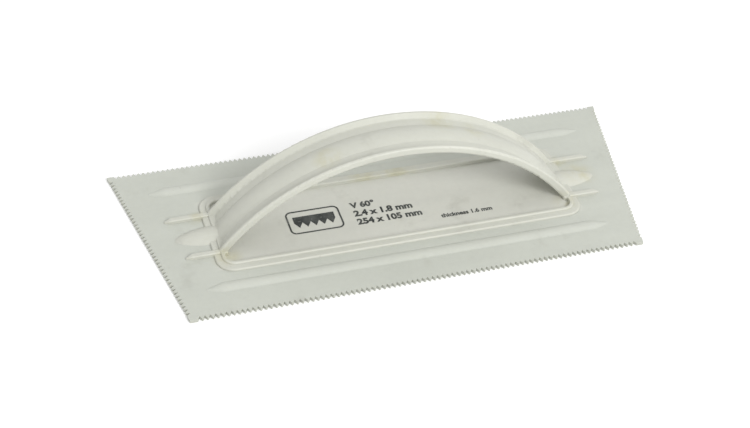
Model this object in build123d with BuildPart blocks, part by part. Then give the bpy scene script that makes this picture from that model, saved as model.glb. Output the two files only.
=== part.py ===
from build123d import *
from math import hypot, radians, sqrt, tan
import os

# Notched trowel: a flat plastic blade with V-notches on all four edges, and an arched
# D-shaped handle that stands on it. Millimetres, +Z up, X along the long edges. The origin
# is the centre of the working face, which is the blade's underside.

# ---- Blade ----
back_edge_length = 254.0
front_edge_length = 216.0
blade_depth = 104.8
blade_thickness = 1.6
notch_pitch = 2.38125
notch_angle = 60.0
tooth_tip_width = 0.3
corner_land = 2.8

# ---- Long stiffening ribs on the blade ----
stiffener_width = 7.2
stiffener_height = 0.85
stiffener_to_frame = 8.8
stiffener_end_margin = 14.0
stiffener_run_out = 8.0
stiffener_tip_share = 0.15

# ---- Base frame of the handle, round the printed panel ----
frame_side_reach = 12.5
frame_corner_radius = 8.5
frame_bar_width = 5.1
frame_end_bar_width = 4.9
frame_height = 1.1
frame_outer_round = 0.8
bead_width = 1.8
bead_height = 0.9
bead_outer_round = 0.7
bead_inner_round = 0.5
opening_corner_radius = 4.0
foot_pad_margin = 1.2
foot_pad_step = 1.77
foot_pad_round = 0.8

# ---- Arch of the handle ----
arch_height = 47.0
arch_half_span = 87.9
grip_half_width = 14.1
grip_thickness = 4.0
rail_top_width = 1.6
rail_draft = 1.5
channel_depth = 2.4
crown_half_width = 6.1
crown_top_depth = 1.0
rail_outer_round = 1.0
rail_inner_round = 0.4
channel_round = 1.2
crown_foot_round = 0.8
underside_round = 1.2

# ---- Toes that run out from the arch's feet over the blade ----
toe_rib_inset = 0.8
toe_rib_width = 2.8
toe_rib_height = 1.9
toe_rib_reach = 16.3
toe_rib_ramp = 3.2
toe_rib_tip_share = 0.3
toe_rib_round = 0.6
toe_rib_bite = 1.0
toe_nose_reach = 16.3
toe_nose_tuck = 1.9
toe_nose_half_width = 6.6
toe_nose_bulge = 0.9

# ---- Heat-staked pegs under the base frame ----
peg_radius = 1.4
peg_head_radius = 2.1
peg_head_height = 0.7
peg_head_recess = 0.1
peg_clearance = 0.05
side_pegs_per_bar = 4
side_peg_end_margin = 20.2

# ---- Printed notch symbol on the blade's panel ----
ink_thickness = 0.1
symbol_x = -38.0
symbol_y = -0.8
symbol_length = 26.0
symbol_width = 16.0
symbol_line = 0.8
symbol_corner_radius = 3.0
symbol_teeth = 5
symbol_tooth_pitch = 4.0
symbol_bar_width = 4.2

os.makedirs("parts", exist_ok=True)

# ---- Worked out from the sizes above ----
side_slope = (back_edge_length - front_edge_length) / 2 / blade_depth
middle_half_length = (back_edge_length + front_edge_length) / 4
arch_radius = ((arch_height - blade_thickness) ** 2 + arch_half_span**2) / (
    2 * (arch_height - blade_thickness)
)
arch_centre_z = arch_height - arch_radius
frame_top = blade_thickness + frame_height
frame_half_width = grip_half_width + frame_side_reach
opening_y = frame_half_width - frame_bar_width
# The panel's ends step in to the line where the arch's underside meets the base frame.
foot_level = blade_thickness + frame_height / 2
foot_x = sqrt((arch_radius - grip_thickness) ** 2 - (foot_level - arch_centre_z) ** 2)
foot_y = grip_half_width + foot_pad_margin
opening_x = foot_x + foot_pad_step
frame_half_length = opening_x + frame_end_bar_width
side_bar_y = (frame_half_width + opening_y) / 2
end_bar_x = (frame_half_length + opening_x) / 2
stiffener_y = frame_half_width + stiffener_to_frame
toe_rib_y = grip_half_width - toe_rib_inset


def half_length_at(y):
    """Half the blade's length at a distance y from its middle."""
    return middle_half_length + side_slope * y


def notched_edge(start, end):
    """Points of one blade edge from start to end, with its V-notches cut in on the left."""
    length = hypot(end[0] - start[0], end[1] - start[1])
    along = ((end[0] - start[0]) / length, (end[1] - start[1]) / length)
    inward = (-along[1], along[0])
    notch_width = notch_pitch - tooth_tip_width
    notch_depth = notch_width / 2 / tan(radians(notch_angle / 2))
    count = int((length - 2 * corner_land + tooth_tip_width) / notch_pitch)
    first = (length - count * notch_pitch + tooth_tip_width) / 2
    points = [start]
    for index in range(count):
        mouth = first + index * notch_pitch
        for distance, depth in (
            (mouth, 0),
            (mouth + notch_width / 2, notch_depth),
            (mouth + notch_width, 0),
        ):
            x = start[0] + along[0] * distance + inward[0] * depth
            y = start[1] + along[1] * distance + inward[1] * depth
            points.append((x, y))
    return points


def stiffener_section(x, y, share):
    """A stiffener's section at x, a low segment of a circle, at a share of its full size."""
    plane = Plane(origin=(x, y, blade_thickness), x_dir=(0, 1, 0), z_dir=(1, 0, 0))
    half_width = stiffener_width / 2 * share
    with BuildSketch(plane) as section:
        with BuildLine():
            ThreePointArc((-half_width, 0), (0, stiffener_height * share), (half_width, 0))
            Line((half_width, 0), (-half_width, 0))
        make_face()
    return section.sketch


# ---- Blade ----
blade_corners = [
    (-front_edge_length / 2, -blade_depth / 2),
    (front_edge_length / 2, -blade_depth / 2),
    (back_edge_length / 2, blade_depth / 2),
    (-back_edge_length / 2, blade_depth / 2),
]
outline = []
for corner, next_corner in zip(blade_corners, blade_corners[1:] + blade_corners[:1]):
    outline += notched_edge(corner, next_corner)

peg_places = [(side * end_bar_x, 0) for side in (-1, 1)]
side_peg_spacing = 2 * (frame_half_length - side_peg_end_margin) / (side_pegs_per_bar - 1)
for side in (-1, 1):
    for index in range(side_pegs_per_bar):
        peg_x = (index - (side_pegs_per_bar - 1) / 2) * side_peg_spacing
        peg_places.append((peg_x, side * side_bar_y))

with BuildPart() as notched_blade:
    with BuildSketch():
        with BuildLine():
            Polyline(*outline, close=True)
        make_face()
    extrude(amount=blade_thickness)
    # Each stiffener is a low rounded hump whose ends run out into the blade.
    for rib_y in (-stiffener_y, stiffener_y):
        rib_end_x = half_length_at(rib_y) - stiffener_end_margin
        full_x = rib_end_x - stiffener_run_out
        extrude(stiffener_section(-full_x, rib_y, 1), amount=2 * full_x)
        for side in (-1, 1):
            full_section = stiffener_section(side * full_x, rib_y, 1)
            loft([full_section, stiffener_section(side * rib_end_x, rib_y, stiffener_tip_share)])
    # Counterbored holes for the handle's pegs, open towards the working face.
    with Locations(*[Location((x, y, 0), (180, 0, 0)) for x, y in peg_places]):
        CounterBoreHole(
            peg_radius + peg_clearance,
            peg_head_radius + peg_clearance,
            peg_head_height + peg_head_recess,
            depth=blade_thickness,
        )
notched_blade.part.label = "notched_blade"
export_step(notched_blade.part, "parts/notched_blade.step")

# ---- Handle ----
# The grip's section has a low crown in the middle, a channel on each side of it and a rail
# along each edge. Its points are given as distances (across, below the rail tops).
rail_inner_y = grip_half_width - rail_top_width
channel_outer_y = rail_inner_y - rail_draft


def section_point(across, below):
    """A point of the grip's section on the plane X = 0."""
    return (across, arch_height - below)


def arch_x_at(z, below):
    """Half-length, at a height z, of the arch's curve that lies this far below the rail tops."""
    return sqrt((arch_radius - below) ** 2 - (z - arch_centre_z) ** 2)


def arch_z_at(x, below):
    """Height, at x, of the arch's curve that lies this far below the rail tops."""
    return sqrt((arch_radius - below) ** 2 - x**2) + arch_centre_z


def panel_opening():
    """The outline of the panel, whose ends step in under the arch."""
    right_end = [
        (opening_x, -opening_y),
        (opening_x, -foot_y),
        (foot_x, -foot_y),
        (foot_x, foot_y),
        (opening_x, foot_y),
        (opening_x, opening_y),
    ]
    left_end = [(-x, -y) for x, y in right_end]
    end_radii = [opening_corner_radius] + 4 * [foot_pad_round] + [opening_corner_radius]
    with BuildSketch(Plane.XY.offset(blade_thickness)) as opening:
        with BuildLine():
            FilletPolyline(*right_end, *left_end, radius=2 * end_radii, close=True)
        make_face()
    return opening.sketch


def toe_rib_section(side, x, y, share):
    """A toe rib's section at x, with its top edges rounded, at a share of its full size."""
    plane = Plane(origin=(side * x, y, blade_thickness), x_dir=(0, side, 0), z_dir=(side, 0, 0))
    with BuildSketch(plane) as section:
        Rectangle(toe_rib_width * share, toe_rib_height * share, align=(Align.CENTER, Align.MIN))
        fillet(section.vertices().group_by(Axis.Y)[-1], toe_rib_round * share)
    return section.sketch


with BuildPart() as arched_handle:
    # The base frame: a low flange round the open panel.
    opening = panel_opening()
    with BuildSketch(Plane.XY.offset(blade_thickness)):
        RectangleRounded(2 * frame_half_length, 2 * frame_half_width, frame_corner_radius)
        add(opening, mode=Mode.SUBTRACT)
    extrude(amount=frame_height)
    fillet(arched_handle.faces().sort_by(Axis.Z)[-1].outer_wire().edges(), frame_outer_round)
    # A bead stands on the flange along the opening.
    with BuildSketch(Plane.XY.offset(blade_thickness)):
        RectangleRounded(
            2 * (opening_x + bead_width),
            2 * (opening_y + bead_width),
            opening_corner_radius + bead_width,
        )
        add(opening, mode=Mode.SUBTRACT)
    extrude(amount=frame_height + bead_height)
    fillet(arched_handle.faces().sort_by(Axis.Z)[-1].outer_wire().edges(), bead_outer_round)
    fillet(arched_handle.faces().sort_by(Axis.Z)[-1].inner_wires()[0].edges(), bead_inner_round)

    # The arch: its section turned about an axis across the trowel.
    with BuildSketch(Plane.YZ) as grip_section:
        with BuildLine():
            crown = ThreePointArc(
                section_point(-crown_half_width, channel_depth),
                section_point(0, crown_top_depth),
                section_point(crown_half_width, channel_depth),
            )
            Polyline(
                crown @ 1,
                section_point(channel_outer_y, channel_depth),
                section_point(rail_inner_y, 0),
                section_point(grip_half_width, 0),
                section_point(grip_half_width, grip_thickness),
                section_point(-grip_half_width, grip_thickness),
                section_point(-grip_half_width, 0),
                section_point(-rail_inner_y, 0),
                section_point(-channel_outer_y, channel_depth),
                crown @ 0,
            )
        make_face()
        for across, below, radius in (
            (grip_half_width, 0, rail_outer_round),
            (rail_inner_y, 0, rail_inner_round),
            (channel_outer_y, channel_depth, channel_round),
            (crown_half_width, channel_depth, crown_foot_round),
            (grip_half_width, grip_thickness, underside_round),
        ):
            for side in (-1, 1):
                corner = Vector(*section_point(side * across, below))
                fillet(grip_section.vertices().sort_by_distance(corner)[0], radius)
    revolve(axis=Axis((0, 0, arch_centre_z), (0, 1, 0)))

    # Toes: a nose that carries on from the crown, and a low rib from each rail. The nose is
    # the part above the blade of a pointed body turned about an axis below it.
    nose_root_x = arch_x_at(blade_thickness, grip_thickness)
    nose_root_z = arch_z_at(nose_root_x, crown_top_depth) - toe_nose_tuck
    nose_root_height = nose_root_z - blade_thickness
    nose_end_x = arch_half_span + toe_nose_reach
    nose_sink = (toe_nose_half_width**2 - nose_root_height**2) / (2 * nose_root_height)
    nose_axis_z = blade_thickness - nose_sink
    for side in (-1, 1):
        with BuildSketch(Plane.XZ):
            with BuildLine():
                nose_back = SagittaArc(
                    (side * nose_root_x, nose_root_z),
                    (side * nose_end_x, blade_thickness),
                    side * toe_nose_bulge,
                )
                Polyline(
                    nose_back @ 1,
                    (side * nose_end_x, nose_axis_z),
                    (side * nose_root_x, nose_axis_z),
                    nose_back @ 0,
                )
            make_face()
        revolve(axis=Axis((0, 0, nose_axis_z), (1, 0, 0)))
    split(bisect_by=Plane.XY.offset(blade_thickness), keep=Keep.TOP)

    rib_root_x = arch_x_at(frame_top, 0) - toe_rib_bite
    for side in (-1, 1):
        for rib_y in (-toe_rib_y, toe_rib_y):
            rib_end_x = arch_half_span + toe_rib_reach + side_slope * rib_y
            ramp_x = rib_end_x - toe_rib_ramp
            extrude(toe_rib_section(side, rib_root_x, rib_y, 1), amount=ramp_x - rib_root_x)
            # The tip narrows and runs down to the blade.
            full_section = toe_rib_section(side, ramp_x, rib_y, 1)
            loft([full_section, toe_rib_section(side, rib_end_x, rib_y, toe_rib_tip_share)])

    # Pegs through the blade, their heads formed into the counterbores.
    with BuildSketch(Plane.XY.offset(blade_thickness)):
        with Locations(*peg_places):
            Circle(peg_radius)
    extrude(amount=peg_head_recess - blade_thickness)
    with BuildSketch(Plane.XY.offset(peg_head_recess)):
        with Locations(*peg_places):
            Circle(peg_head_radius)
    extrude(amount=peg_head_height)
arched_handle.part.label = "arched_handle"
export_step(arched_handle.part, "parts/arched_handle.step")

# ---- Printed symbol: a plain frame round a bar with a notched edge ----
with BuildPart() as notch_symbol:
    with BuildSketch(Plane.XY.offset(blade_thickness)):
        with Locations((symbol_x, symbol_y)):
            RectangleRounded(symbol_length, symbol_width, symbol_corner_radius)
            RectangleRounded(
                symbol_length - 2 * symbol_line,
                symbol_width - 2 * symbol_line,
                symbol_corner_radius - symbol_line,
                mode=Mode.SUBTRACT,
            )
            bar_length = symbol_teeth * symbol_tooth_pitch
            tooth_depth = symbol_tooth_pitch / 2 / tan(radians(notch_angle / 2))
            bar_top = (symbol_bar_width + tooth_depth) / 2
            tooth_points = [(-bar_length / 2, bar_top), (-bar_length / 2, -bar_top + tooth_depth)]
            for tooth in range(symbol_teeth):
                tip_x = tooth * symbol_tooth_pitch + (symbol_tooth_pitch - bar_length) / 2
                tooth_points.append((tip_x, -bar_top))
                tooth_points.append((tip_x + symbol_tooth_pitch / 2, -bar_top + tooth_depth))
            tooth_points.append((bar_length / 2, bar_top))
            Polygon(*tooth_points, align=None)
    extrude(amount=ink_thickness)
notch_symbol.part.label = "notch_symbol"
export_step(notch_symbol.part, "parts/notch_symbol.step")
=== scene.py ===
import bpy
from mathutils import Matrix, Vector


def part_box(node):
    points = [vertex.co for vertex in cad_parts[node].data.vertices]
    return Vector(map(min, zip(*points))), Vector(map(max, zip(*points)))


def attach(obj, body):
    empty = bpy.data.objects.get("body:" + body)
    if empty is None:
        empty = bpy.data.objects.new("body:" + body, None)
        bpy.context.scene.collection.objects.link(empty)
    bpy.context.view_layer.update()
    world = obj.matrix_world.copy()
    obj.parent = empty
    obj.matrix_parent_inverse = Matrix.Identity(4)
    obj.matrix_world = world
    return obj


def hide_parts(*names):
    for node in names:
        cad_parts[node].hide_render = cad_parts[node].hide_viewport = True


bl_info = {
    "name": "Notched Trowel",
    "version": (1, 0, 0),
    "blender": (4, 5, 0),
    "location": "View3D > Sidebar > Trowel",
    "description": "Finishes a notched trowel round its packed frame: mouldings, print and studio",
    "category": "Object",
}

from math import cos, radians, sin

import bpy
from bpy.props import FloatProperty, FloatVectorProperty, PointerProperty
from mathutils import Quaternion, Vector

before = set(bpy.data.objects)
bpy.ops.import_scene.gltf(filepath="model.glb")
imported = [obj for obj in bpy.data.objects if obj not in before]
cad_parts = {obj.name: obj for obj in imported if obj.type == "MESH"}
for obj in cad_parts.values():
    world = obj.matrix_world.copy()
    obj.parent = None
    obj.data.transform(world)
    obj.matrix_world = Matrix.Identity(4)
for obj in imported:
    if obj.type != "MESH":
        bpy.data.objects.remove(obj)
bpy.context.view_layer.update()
MM = 0.001
MERGE_DISTANCE = 0.002 * MM
LETTER_MERGE_DISTANCE = 0.001 * MM
FLAT_ANGLE = radians(0.3)
SHARP_ANGLE = radians(38)


# ---------------------------------------------------------------- settings


class TrowelPlastic(bpy.types.PropertyGroup):
    """The two moulded plastics."""

    blade_colour: FloatVectorProperty(
        name="Blade", description="Colour of the blade's plastic",
        subtype="COLOR", size=3, min=0, max=1, default=(0.480, 0.496, 0.444),
    )
    # Painted light: the panel under the arch is painted lighter than the blade, standing in for light
    # that reaches under the arch.
    panel_painted_light_colour: FloatVectorProperty(
        name="Panel", description="Colour of the cleaner panel under the arch",
        subtype="COLOR", size=3, min=0, max=1, default=(0.555, 0.557, 0.505),
    )
    # Painted highlight: the raised ribs are painted paler than the blade, standing in for light on
    # their crests.
    crest_highlight_colour: FloatVectorProperty(
        name="Rubbed crests", description="Colour of the raised ribs, rubbed pale",
        subtype="COLOR", size=3, min=0, max=1, default=(0.522, 0.536, 0.482),
    )
    handle_colour: FloatVectorProperty(
        name="Handle", description="Colour of the handle's plastic",
        subtype="COLOR", size=3, min=0, max=1, default=(0.512, 0.517, 0.458),
    )
    stain_colour: FloatVectorProperty(
        name="Stain", description="Colour of old adhesive and yellowing in the corners",
        subtype="COLOR", size=3, min=0, max=1, default=(0.45, 0.43, 0.28),
    )
    # This colour is real dirt in the smudges and painted shade on the upright faces.
    grime_and_shade_colour: FloatVectorProperty(
        name="Grime", description="Colour of the dirt that sits on cut edges and in smudges",
        subtype="COLOR", size=3, min=0, max=1, default=(0.235, 0.225, 0.185),
    )
    mottle_strength: FloatProperty(
        name="Mottle", description="How much lighter and darker the plastic is in clouds",
        subtype="FACTOR", min=0, max=1, default=0.10,
    )
    smudge_amount: FloatProperty(
        name="Smudges", description="How much dirt lies in the smudges",
        subtype="FACTOR", min=0, max=1, default=0.22,
    )
    stain_amount: FloatProperty(
        name="Stains", description="How strongly the stains show",
        subtype="FACTOR", min=0, max=1, default=0.6,
    )
    edge_round: FloatProperty(
        name="Edge round", description="Radius on the mouldings' sharp edges",
        unit="LENGTH", min=0, default=0.12 * MM,
    )


class TrowelPrint(bpy.types.PropertyGroup):
    """The size marking on the panel under the arch."""

    ink_colour: FloatVectorProperty(
        name="Ink", description="Colour of the printing ink", subtype="COLOR",
        size=3, min=0, max=1, default=(0.014, 0.018, 0.016),
    )
    letter_height: FloatProperty(
        name="Letter height", description="Height of the figures in the main lines",
        unit="LENGTH", min=0, default=4.0 * MM,
    )
    line_pitch: FloatProperty(
        name="Line pitch", description="Distance from one main line to the next",
        unit="LENGTH", min=0, default=6.0 * MM,
    )
    boldness: FloatProperty(
        name="Boldness", description="How far the main letters swell, as a share of their height",
        subtype="FACTOR", min=0, max=0.2, default=0.045,
    )
    small_letter_height: FloatProperty(
        name="Small letter height", description="Height of the figures in the small line",
        unit="LENGTH", min=0, default=2.7 * MM,
    )
    small_boldness: FloatProperty(
        name="Small boldness",
        description="How far the small letters swell, as a share of their height",
        subtype="FACTOR", min=0, max=0.2, default=0.035,
    )
    symbol_gap: FloatProperty(
        name="Gap", description="Gap between the symbol and the main lines",
        unit="LENGTH", min=0, default=6.2 * MM,
    )
    top_line_rise: FloatProperty(
        name="Top line", description="Height of the top line's foot above the symbol's middle",
        unit="LENGTH", default=4.0 * MM,
    )
    small_line_shift: FloatProperty(
        name="Small line", description="How far to the right of the main lines the small line starts",
        unit="LENGTH", default=40.0 * MM,
    )
    small_line_drop: FloatProperty(
        name="Small line drop", description="How many lines below the top line the small line lies",
        min=0, default=2.75,
    )
    ink_thickness: FloatProperty(
        name="Ink thickness", description="How far the ink stands on the panel",
        unit="LENGTH", min=0, default=0.06 * MM,
    )


class TrowelStudio(bpy.types.PropertyGroup):
    """Floor, lights and camera."""

    azimuth: FloatProperty(
        name="Azimuth", description="Camera's turn round the trowel from the front",
        subtype="ANGLE", default=radians(-19.36),
    )
    elevation: FloatProperty(
        name="Elevation", description="Camera's height above the horizon",
        subtype="ANGLE", default=radians(40.69),
    )
    roll: FloatProperty(
        name="Roll", description="Camera's turn about its own view",
        subtype="ANGLE", default=radians(3.76),
    )
    distance: FloatProperty(
        name="Distance", description="From the camera to the point it looks at",
        unit="LENGTH", min=0, default=725.2 * MM,
    )
    aim: FloatVectorProperty(
        name="Aim", description="The point that the camera looks at",
        subtype="TRANSLATION", unit="LENGTH", size=3, default=(-7.92 * MM, 0, -1.47 * MM),
    )
    lens: FloatProperty(
        name="Lens", description="Focal length of the camera", unit="CAMERA", default=73.03,
    )
    floor_colour: FloatVectorProperty(
        name="Floor", description="Colour of the pale floor", subtype="COLOR",
        size=3, min=0, max=1, default=(0.97, 0.97, 0.97),
    )
    key_power: FloatProperty(
        name="Key light", description="Power of the large soft light at the front right",
        unit="POWER", min=0, default=25.0,
    )
    key_size: FloatProperty(
        name="Key size", description="Side of the square key light",
        unit="LENGTH", min=0, default=0.75,
    )
    key_distance: FloatProperty(
        name="Key distance", description="From the key light to the trowel",
        unit="LENGTH", min=0, default=2.0,
    )
    key_turn: FloatProperty(
        name="Key turn", description="How far to the right of the front the key light stands",
        subtype="ANGLE", default=radians(22),
    )
    key_rise: FloatProperty(
        name="Key rise", description="How high above the horizon the key light stands",
        subtype="ANGLE", default=radians(38),
    )
    sky_strength: FloatProperty(
        name="Room light", description="Strength of the even white light from all round",
        min=0, default=0.87,
    )


# ---------------------------------------------------------------- helpers


def use_only(piece):
    """Leaves one object selected and active, in object mode."""
    bpy.ops.object.select_all(action="DESELECT")
    piece.select_set(True)
    bpy.context.view_layer.objects.active = piece


def merged_copy(node, name):
    """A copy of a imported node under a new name, its loose triangles joined into one skin."""
    use_only(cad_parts[node])
    bpy.ops.object.duplicate()
    piece = bpy.context.object
    piece.name = piece.data.name = name
    for key in list(piece.keys()):
        del piece[key]
    bpy.ops.object.mode_set(mode="EDIT")
    bpy.ops.mesh.select_all(action="SELECT")
    bpy.ops.mesh.remove_doubles(threshold=MERGE_DISTANCE)
    bpy.ops.object.mode_set(mode="OBJECT")
    return piece


def soften_edges(piece, radius, smooth_angle):
    """Rounds a moulding's sharp edges a little and shades its curves smooth."""
    use_only(piece)
    bpy.ops.object.mode_set(mode="EDIT")
    bpy.ops.mesh.select_all(action="SELECT")
    bpy.ops.mesh.dissolve_limited(angle_limit=FLAT_ANGLE)
    bpy.ops.object.mode_set(mode="OBJECT")
    bevel = piece.modifiers.new("Edge round", "BEVEL")
    bevel.width = radius
    bevel.segments = 2
    bevel.limit_method = "ANGLE"
    bevel.angle_limit = SHARP_ANGLE
    bpy.ops.object.modifier_apply(modifier=bevel.name)
    bpy.ops.object.shade_smooth_by_angle(angle=smooth_angle)
    # Large flat faces keep their own normal, so that only the curves shade round.
    weighted = piece.modifiers.new("Flat faces", "WEIGHTED_NORMAL")
    weighted.keep_sharp = True
    bpy.ops.object.modifier_apply(modifier=weighted.name)


def finish_piece(piece, material, node=None):
    """Hangs a finished piece on the frame with its material, and hides the imported node it stands in
    for.
    """
    piece.data.materials.clear()
    piece.data.materials.append(material)
    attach(piece, "root")
    if node:
        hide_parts(node)


# ---------------------------------------------------------------- shader groups


def new_group(name, inputs, outputs):
    """An empty shader node group with its sockets, and its input and output nodes."""
    tree = bpy.data.node_groups.new(name, "ShaderNodeTree")
    for label, kind in inputs:
        tree.interface.new_socket(label, in_out="INPUT", socket_type=kind)
    for label, kind in outputs:
        tree.interface.new_socket(label, in_out="OUTPUT", socket_type=kind)
    return tree, tree.nodes.new("NodeGroupInput"), tree.nodes.new("NodeGroupOutput")


def add_group(tree, name, make, vector, **values):
    """A shared node group placed on a vector with its own values, built at its first use."""
    node = tree.nodes.new("ShaderNodeGroup")
    node.node_tree = bpy.data.node_groups.get(name) or make(name)
    tree.links.new(vector, node.inputs["Vector"])
    for label, value in values.items():
        node.inputs[label].default_value = value
    return node


def noise(tree, vector, scale, detail=3.0, roughness=0.5):
    """A noise texture on a vector; its values gather round one half."""
    node = tree.nodes.new("ShaderNodeTexNoise")
    node.inputs["Scale"].default_value = scale
    node.inputs["Detail"].default_value = detail
    node.inputs["Roughness"].default_value = roughness
    tree.links.new(vector, node.inputs["Vector"])
    return node.outputs["Fac"]


def ramp(tree, value, low, high, to_low=0.0, to_high=1.0):
    """A value brought smoothly from one range to another, and kept inside it."""
    node = tree.nodes.new("ShaderNodeMapRange")
    node.interpolation_type = "SMOOTHSTEP"
    node.inputs["From Min"].default_value = low
    node.inputs["From Max"].default_value = high
    node.inputs["To Min"].default_value = to_low
    node.inputs["To Max"].default_value = to_high
    tree.links.new(value, node.inputs["Value"])
    return node.outputs["Result"]


def math_node(tree, operation, first, second):
    """A math node on two sockets or numbers."""
    node = tree.nodes.new("ShaderNodeMath")
    node.operation = operation
    for socket, value in zip(node.inputs, (first, second)):
        if isinstance(value, (int, float)):
            socket.default_value = value
        else:
            tree.links.new(value, socket)
    return node.outputs["Value"]


def streak_noise(tree, vector, along, across, turn, detail):
    """Noise drawn out into streaks: few waves along them and many across, turned about Z."""
    node = tree.nodes.new("ShaderNodeMapping")
    node.inputs["Scale"].default_value = (along, across, across)
    node.inputs["Rotation"].default_value = (0, 0, radians(turn))
    tree.links.new(vector, node.inputs["Vector"])
    return noise(tree, node.outputs["Vector"], scale=1.0, detail=detail)


def axes(tree, vector):
    """The X, Y and Z of a vector, as a node's outputs."""
    node = tree.nodes.new("ShaderNodeSeparateXYZ")
    tree.links.new(vector, node.inputs["Vector"])
    return node.outputs


def add_bump(tree, shader, height, strength, distance):
    """A height that feeds the shader's normal."""
    bump = tree.nodes.new("ShaderNodeBump")
    bump.inputs["Strength"].default_value = strength
    bump.inputs["Distance"].default_value = distance
    tree.links.new(height, bump.inputs["Height"])
    tree.links.new(bump.outputs["Normal"], shader.inputs["Normal"])


def mix(tree, factor, first, second):
    """One colour mixed into another by a mask."""
    node = tree.nodes.new("ShaderNodeMix")
    node.data_type = "RGBA"
    colours = [socket for socket in node.inputs if socket.type == "RGBA"]
    tree.links.new(factor, node.inputs[0])
    for socket, colour in zip(colours, (first, second)):
        if isinstance(colour, (tuple, list)):
            socket.default_value = colour
        else:
            tree.links.new(colour, socket)
    return next(socket for socket in node.outputs if socket.type == "RGBA")


def moulded_mottle(name):
    """Cloudy flow marks of moulded plastic: a factor round one for its colour."""
    tree, start, end = new_group(
        name,
        (("Vector", "NodeSocketVector"), ("Strength", "NodeSocketFloat")),
        (("Shade", "NodeSocketFloat"),),
    )
    vector = start.outputs["Vector"]
    clouds = noise(tree, vector, scale=26.0, detail=4.0, roughness=0.55)
    streaks = streak_noise(tree, vector, along=14.0, across=120.0, turn=4, detail=3.0)
    specks = noise(tree, vector, scale=420.0, detail=2.0)
    fine = math_node(tree, "MULTIPLY", specks, 0.6)
    total = math_node(tree, "ADD", math_node(tree, "ADD", clouds, streaks), fine)
    centred = math_node(tree, "SUBTRACT", total, 1.3)
    shade = math_node(tree, "MULTIPLY", centred, start.outputs["Strength"])
    tree.links.new(math_node(tree, "ADD", shade, 1.0), end.inputs["Shade"])
    return tree


def fine_texture(name):
    """Height of the mould's fine grain, with a few long scuffs."""
    tree, start, end = new_group(
        name,
        (("Vector", "NodeSocketVector"), ("Scuffs", "NodeSocketFloat")),
        (("Height", "NodeSocketFloat"), ("Scuff mask", "NodeSocketFloat")),
    )
    vector = start.outputs["Vector"]
    grain = noise(tree, vector, scale=2600.0, detail=2.0, roughness=0.6)
    waves = noise(tree, vector, scale=240.0, detail=2.0)
    # Scuffs run in three directions, and only where the patches let them.
    scuff = None
    for turn, threshold in ((8, 0.61), (-21, 0.63), (64, 0.64)):
        lines = streak_noise(tree, vector, along=18.0, across=1500.0, turn=turn, detail=1.0)
        line = ramp(tree, lines, threshold, threshold + 0.05)
        scuff = line if scuff is None else math_node(tree, "MAXIMUM", scuff, line)
    patches = ramp(tree, noise(tree, vector, scale=38.0), 0.45, 0.62)
    scuff = math_node(tree, "MULTIPLY", scuff, patches)
    scuff = math_node(tree, "MULTIPLY", scuff, start.outputs["Scuffs"])
    height = math_node(tree, "ADD", math_node(tree, "MULTIPLY", grain, 0.25), waves)
    height = math_node(tree, "SUBTRACT", height, math_node(tree, "MULTIPLY", scuff, 0.35))
    tree.links.new(height, end.inputs["Height"])
    tree.links.new(scuff, end.inputs["Scuff mask"])
    return tree


def smudges(name):
    """A mask of soft dirty patches left by fingers and dried adhesive, and of specks."""
    tree, start, end = new_group(
        name,
        (("Vector", "NodeSocketVector"), ("Amount", "NodeSocketFloat")),
        (("Mask", "NodeSocketFloat"),),
    )
    vector = start.outputs["Vector"]
    patches = ramp(tree, noise(tree, vector, scale=46.0, detail=5.0, roughness=0.62), 0.56, 0.74)
    specks = ramp(tree, noise(tree, vector, scale=620.0, detail=2.0), 0.70, 0.78)
    both = math_node(tree, "ADD", patches, specks)
    mask = math_node(tree, "MULTIPLY", both, start.outputs["Amount"])
    tree.links.new(math_node(tree, "MINIMUM", mask, 1.0), end.inputs["Mask"])
    return tree


# ---------------------------------------------------------------- materials


def new_material(name):
    """An empty node material with its shader and output."""
    material = bpy.data.materials.new(name)
    material.use_nodes = True
    tree = material.node_tree
    tree.nodes.clear()
    output = tree.nodes.new("ShaderNodeOutputMaterial")
    shader = tree.nodes.new("ShaderNodeBsdfPrincipled")
    tree.links.new(shader.outputs["BSDF"], output.inputs["Surface"])
    return material, tree, shader


def near_places(tree, vector, places):
    """A mask that is one at each of some places and fades out over each one's own radius."""
    mask = None
    for place, radius in places:
        node = tree.nodes.new("ShaderNodeVectorMath")
        node.operation = "DISTANCE"
        node.inputs[1].default_value = place
        tree.links.new(vector, node.inputs[0])
        spot = ramp(tree, node.outputs["Value"], 0.15 * radius, radius, 1.0, 0.0)
        mask = spot if mask is None else math_node(tree, "MAXIMUM", mask, spot)
    return mask


def inside_panel(tree, vector, half_length, half_width, floor):
    """A mask of the panel's top: a rectangle round the origin, above the working face."""
    place = axes(tree, vector)
    across = math_node(tree, "ABSOLUTE", place["X"], 0)
    across = math_node(tree, "DIVIDE", across, half_length)
    deep = math_node(tree, "ABSOLUTE", place["Y"], 0)
    deep = math_node(tree, "DIVIDE", deep, half_width)
    inside = ramp(tree, math_node(tree, "MAXIMUM", across, deep), 0.98, 1.06, 1.0, 0.0)
    top = ramp(tree, place["Z"], 0.5 * floor, 0.9 * floor)
    return math_node(tree, "MULTIPLY", inside, top)


def above(tree, vector, low, high):
    """A mask that rises from zero to one between two heights."""
    return ramp(tree, axes(tree, vector)["Z"], low, high)


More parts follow.
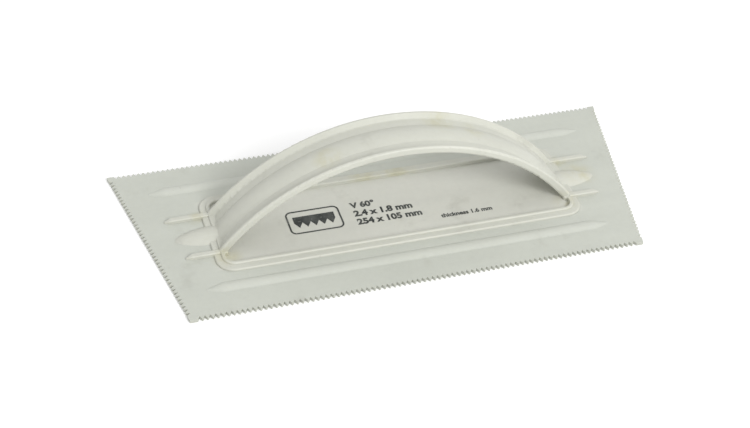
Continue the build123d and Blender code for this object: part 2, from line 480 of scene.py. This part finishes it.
def plastic_material(name, colour, stains, edge_shade_and_grime, scuffs, painted_light_areas=()):
    """Moulded plastic: cloudy, finely grained, stained in places, with painted light where given, and
    with painted shade and some dirt on its upright edges.
    """
    settings = bpy.context.scene.trowel_plastic
    stain_colour = (*settings.stain_colour, 1)
    grime_and_shade_colour = (*settings.grime_and_shade_colour, 1)
    material, tree, shader = new_material(name)
    vector = tree.nodes.new("ShaderNodeTexCoord").outputs["Object"]
    mottle = add_group(
        tree, "Moulded mottle", moulded_mottle, vector, Strength=settings.mottle_strength
    )
    texture = add_group(tree, "Fine texture", fine_texture, vector, Scuffs=scuffs)
    dirt = add_group(tree, "Smudges", smudges, vector, Amount=settings.smudge_amount)

    # The plastic's own colour, with painted light on the panel and a painted highlight on the crests,
    # lighter and darker in clouds.
    plain = tree.nodes.new("ShaderNodeRGB").outputs["Color"]
    plain.default_value = (*colour, 1)
    for area_mask, sizes, area_colour in painted_light_areas:
        plain = mix(tree, area_mask(tree, vector, *sizes), plain, (*area_colour, 1))
    shaded = tree.nodes.new("ShaderNodeVectorMath")
    shaded.operation = "SCALE"
    tree.links.new(plain, shaded.inputs[0])
    tree.links.new(mottle.outputs["Shade"], shaded.inputs["Scale"])
    base = shaded.outputs["Vector"]

    # Stains in their places, broken up by noise, and smudges all over.
    broken = ramp(tree, noise(tree, vector, scale=150.0, detail=4.0, roughness=0.6), 0.30, 0.66)
    stain = math_node(tree, "MULTIPLY", near_places(tree, vector, stains), broken)
    base = mix(tree, math_node(tree, "MULTIPLY", stain, settings.stain_amount), base, stain_colour)
    base = mix(tree, dirt.outputs["Mask"], base, grime_and_shade_colour)

    # Painted shade on the upright edges, partly real dirt on the cut edges.
    normal = tree.nodes.new("ShaderNodeNewGeometry").outputs["Normal"]
    flatness = math_node(tree, "ABSOLUTE", axes(tree, normal)["Z"], 0)
    upright = ramp(tree, flatness, 0.15, 0.6, 1.0, 0.0)
    base = mix(tree, math_node(tree, "MULTIPLY", upright, edge_shade_and_grime), base, grime_and_shade_colour)
    tree.links.new(base, shader.inputs["Base Color"])

    satin = ramp(tree, noise(tree, vector, scale=60.0), 0.3, 0.7, 0.44, 0.58)
    scuffed = math_node(tree, "MULTIPLY", texture.outputs["Scuff mask"], 0.12)
    tree.links.new(math_node(tree, "ADD", satin, scuffed), shader.inputs["Roughness"])
    shader.inputs["IOR"].default_value = 1.49
    shader.inputs["Subsurface Weight"].default_value = 0.12
    shader.inputs["Subsurface Radius"].default_value = (1.0, 0.95, 0.8)
    shader.inputs["Subsurface Scale"].default_value = 1.2 * MM
    add_bump(tree, shader, texture.outputs["Height"], strength=0.22, distance=0.05 * MM)
    return material


def ink_material():
    """Black printing ink, a little thin in places and worn to grey specks."""
    ink_colour = (*bpy.context.scene.trowel_print.ink_colour, 1)
    bare_colour = (*bpy.context.scene.trowel_plastic.blade_colour, 1)
    material, tree, shader = new_material("Printing ink")
    vector = tree.nodes.new("ShaderNodeTexCoord").outputs["Object"]
    specks = ramp(tree, noise(tree, vector, scale=900.0), 0.60, 0.75, 0.0, 0.5)
    cloudy = ramp(tree, noise(tree, vector, scale=120.0), 0.35, 0.70, 0.0, 0.10)
    worn = math_node(tree, "MAXIMUM", specks, cloudy)
    tree.links.new(mix(tree, worn, ink_colour, bare_colour), shader.inputs["Base Color"])
    matt = ramp(tree, noise(tree, vector, scale=500.0), 0.3, 0.7, 0.38, 0.58)
    tree.links.new(matt, shader.inputs["Roughness"])
    add_bump(tree, shader, noise(tree, vector, scale=3000.0), strength=0.15, distance=0.02 * MM)
    return material


# ---------------------------------------------------------------- pieces


def foot_stains():
    """Places and radii of the stains round the arch's feet."""
    low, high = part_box("arched_handle")
    frame_end = high.x - 17.4 * MM
    floor = low.z + 1.5 * MM
    stains = []
    for side in (-1, 1):
        # One in the panel's front corner, one where the back toe rib starts.
        stains.append(((side * (frame_end - 6 * MM), -17 * MM, floor), 9 * MM))
        stains.append(((side * (frame_end + 2 * MM), 13 * MM, floor), 6 * MM))
    # One on the right nose.
    stains.append(((frame_end + 8 * MM, 2 * MM, floor), 12 * MM))
    return stains


def grip_stains():
    """Places and radii of the stains on the frame's back bar and on top of the grip."""
    low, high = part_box("arched_handle")
    bar_y = high.y - 3.5 * MM
    bar_z = low.z + 2.5 * MM
    stains = [((x * MM, bar_y, bar_z), 12 * MM) for x in (-6, 10)]
    for x, y, below, radius in ((24, 8, 2.5, 11), (40, 4, 8, 8), (-34, -3, 6, 9)):
        stains.append(((x * MM, y * MM, high.z - below * MM), radius * MM))
    return stains


class TROWEL_OT_blade(bpy.types.Operator):
    """Finish the notched blade"""

    bl_idname = "trowel.blade"
    bl_label = "Blade"

    def execute(self, context):
        plastic = context.scene.trowel_plastic
        blade = merged_copy("notched_blade", "blade_moulding")
        soften_edges(blade, plastic.edge_round, smooth_angle=radians(16))
        # The panel under the base frame is painted lighter, standing in for light under the arch, and
        # the crests above the blade's top get a painted highlight.
        handle_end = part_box("arched_handle")[1]
        blade_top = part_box("notch_symbol")[0].z
        panel = (handle_end.x - 20 * MM, handle_end.y - 3 * MM, blade_top)
        crests = (blade_top + 0.05 * MM, blade_top + 0.9 * MM)
        material = plastic_material(
            "Blade plastic",
            plastic.blade_colour,
            foot_stains(),
            edge_shade_and_grime=0.25,
            scuffs=1.0,
            painted_light_areas=(
                (inside_panel, panel, plastic.panel_painted_light_colour),
                (above, crests, plastic.crest_highlight_colour),
            ),
        )
        finish_piece(blade, material, "notched_blade")
        return {"FINISHED"}


class TROWEL_OT_handle(bpy.types.Operator):
    """Finish the arched handle"""

    bl_idname = "trowel.handle"
    bl_label = "Handle"

    def execute(self, context):
        plastic = context.scene.trowel_plastic
        handle = merged_copy("arched_handle", "handle_moulding")
        soften_edges(handle, plastic.edge_round, smooth_angle=radians(30))
        material = plastic_material(
            "Handle plastic",
            plastic.handle_colour,
            foot_stains() + grip_stains(),
            edge_shade_and_grime=0.06,
            scuffs=0.5,
        )
        finish_piece(handle, material, "arched_handle")
        return {"FINISHED"}


def printed_line(name, words, height, boldness, thickness, corner):
    """One line of print as thin raised letters, its lower left corner at a place on the panel."""
    bpy.ops.object.select_all(action="DESELECT")
    bpy.ops.object.text_add()
    line = bpy.context.object
    line.name = name
    line.data.body = words
    line.data.size = height
    line.data.extrude = thickness / 2
    line.data.offset = boldness * height
    line.data.resolution_u = 4
    bpy.ops.object.convert(target="MESH")
    line = bpy.context.object
    line.data.name = name
    tall = max(vertex.co.y for vertex in line.data.vertices)
    line.scale = (height / tall, height / tall, 1)
    line.location = Vector(corner) + Vector((0, 0, thickness / 2))
    bpy.ops.object.transform_apply(location=True, rotation=True, scale=True)
    bpy.ops.object.mode_set(mode="EDIT")
    bpy.ops.mesh.select_all(action="SELECT")
    bpy.ops.mesh.remove_doubles(threshold=LETTER_MERGE_DISTANCE)
    bpy.ops.mesh.normals_make_consistent(inside=False)
    bpy.ops.object.mode_set(mode="OBJECT")
    return line


class TROWEL_OT_print(bpy.types.Operator):
    """Print the size marking on the panel"""

    bl_idname = "trowel.print"
    bl_label = "Print"

    def execute(self, context):
        settings = context.scene.trowel_print
        ink = ink_material()
        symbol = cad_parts["notch_symbol"]
        symbol.data.materials.clear()
        symbol.data.materials.append(ink)
        low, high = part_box("notch_symbol")
        left = high.x + settings.symbol_gap
        top = (low.y + high.y) / 2 + settings.top_line_rise
        main = (settings.letter_height, settings.boldness)
        small = (settings.small_letter_height, settings.small_boldness)
        for name, words, lettering, shift, drop in (
            ("notch_angle_print", "V 60°", main, 0, 0),
            ("notch_size_print", "2.4 x 1.8 mm", main, 0, 1),
            ("blade_size_print", "254 x 105 mm", main, 0, 2),
            ("thickness_print", "thickness 1.6 mm", small,
             settings.small_line_shift, settings.small_line_drop),
        ):
            corner = (left + shift, top - drop * settings.line_pitch, low.z)
            line = printed_line(name, words, *lettering, settings.ink_thickness, corner)
            finish_piece(line, ink)
        return {"FINISHED"}


def direction(turn, rise):
    """The way from the trowel to a place turned from the front and raised from the horizon."""
    return Vector((sin(turn) * cos(rise), -cos(turn) * cos(rise), sin(rise)))


class TROWEL_OT_studio(bpy.types.Operator):
    """Set up the floor, lights and camera"""

    bl_idname = "trowel.studio"
    bl_label = "Studio"

    def execute(self, context):
        studio = context.scene.trowel_studio
        self.floor(studio)
        self.lights(context, studio)
        self.camera(context, studio)
        return {"FINISHED"}

    def floor(self, studio):
        bpy.ops.object.select_all(action="DESELECT")
        bpy.ops.mesh.primitive_plane_add(size=8.0, location=(0, 0, -0.02 * MM))
        floor = bpy.context.object
        floor.name = floor.data.name = "studio_floor"
        material, tree, shader = new_material("Pale floor")
        shader.inputs["Base Color"].default_value = (*studio.floor_colour, 1)
        shader.inputs["Roughness"].default_value = 0.9
        floor.data.materials.append(material)

    def lights(self, context, studio):
        world = bpy.data.worlds.new("Studio room")
        context.scene.world = world
        world.use_nodes = True
        background = world.node_tree.nodes["Background"]
        background.inputs["Color"].default_value = (1, 1, 1, 1)
        background.inputs["Strength"].default_value = studio.sky_strength
        place = direction(studio.key_turn, studio.key_rise) * studio.key_distance
        bpy.ops.object.light_add(type="AREA", location=place)
        light = context.object
        light.name = light.data.name = "key_light"
        light.data.size = studio.key_size
        light.data.energy = studio.key_power
        light.rotation_euler = (-place).to_track_quat("-Z", "Y").to_euler()

    def camera(self, context, studio):
        back = direction(studio.azimuth, studio.elevation)
        bpy.ops.object.camera_add(location=Vector(studio.aim) + back * studio.distance)
        camera = context.object
        camera.name = camera.data.name = "studio_camera"
        camera.data.lens = studio.lens
        camera.data.sensor_width = 36
        camera.data.clip_start = 0.01
        camera.rotation_mode = "QUATERNION"
        level = (-back).to_track_quat("-Z", "Y")
        camera.rotation_quaternion = level @ Quaternion((0, 0, 1), studio.roll)
        context.scene.camera = camera
        context.scene.view_settings.view_transform = "Standard"


class TROWEL_PT_panel(bpy.types.Panel):
    """Everything the trowel is finished with"""

    bl_label = "Notched trowel"
    bl_idname = "TROWEL_PT_panel"
    bl_space_type = "VIEW_3D"
    bl_region_type = "UI"
    bl_category = "Trowel"

    def draw(self, context):
        for operator in OPERATORS:
            self.layout.operator(operator.bl_idname)


SETTINGS = {
    "trowel_plastic": TrowelPlastic,
    "trowel_print": TrowelPrint,
    "trowel_studio": TrowelStudio,
}
OPERATORS = (TROWEL_OT_blade, TROWEL_OT_handle, TROWEL_OT_print, TROWEL_OT_studio)
CLASSES = (*SETTINGS.values(), *OPERATORS, TROWEL_PT_panel)


def register():
    for each in CLASSES:
        bpy.utils.register_class(each)
    for name, group in SETTINGS.items():
        setattr(bpy.types.Scene, name, PointerProperty(type=group))


def unregister():
    for name in SETTINGS:
        delattr(bpy.types.Scene, name)
    for each in reversed(CLASSES):
        bpy.utils.unregister_class(each)


def main():
    register()
    bpy.ops.trowel.blade()
    bpy.ops.trowel.handle()
    bpy.ops.trowel.print()
    bpy.ops.trowel.studio()
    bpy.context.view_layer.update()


if __name__ == "__main__":
    main()
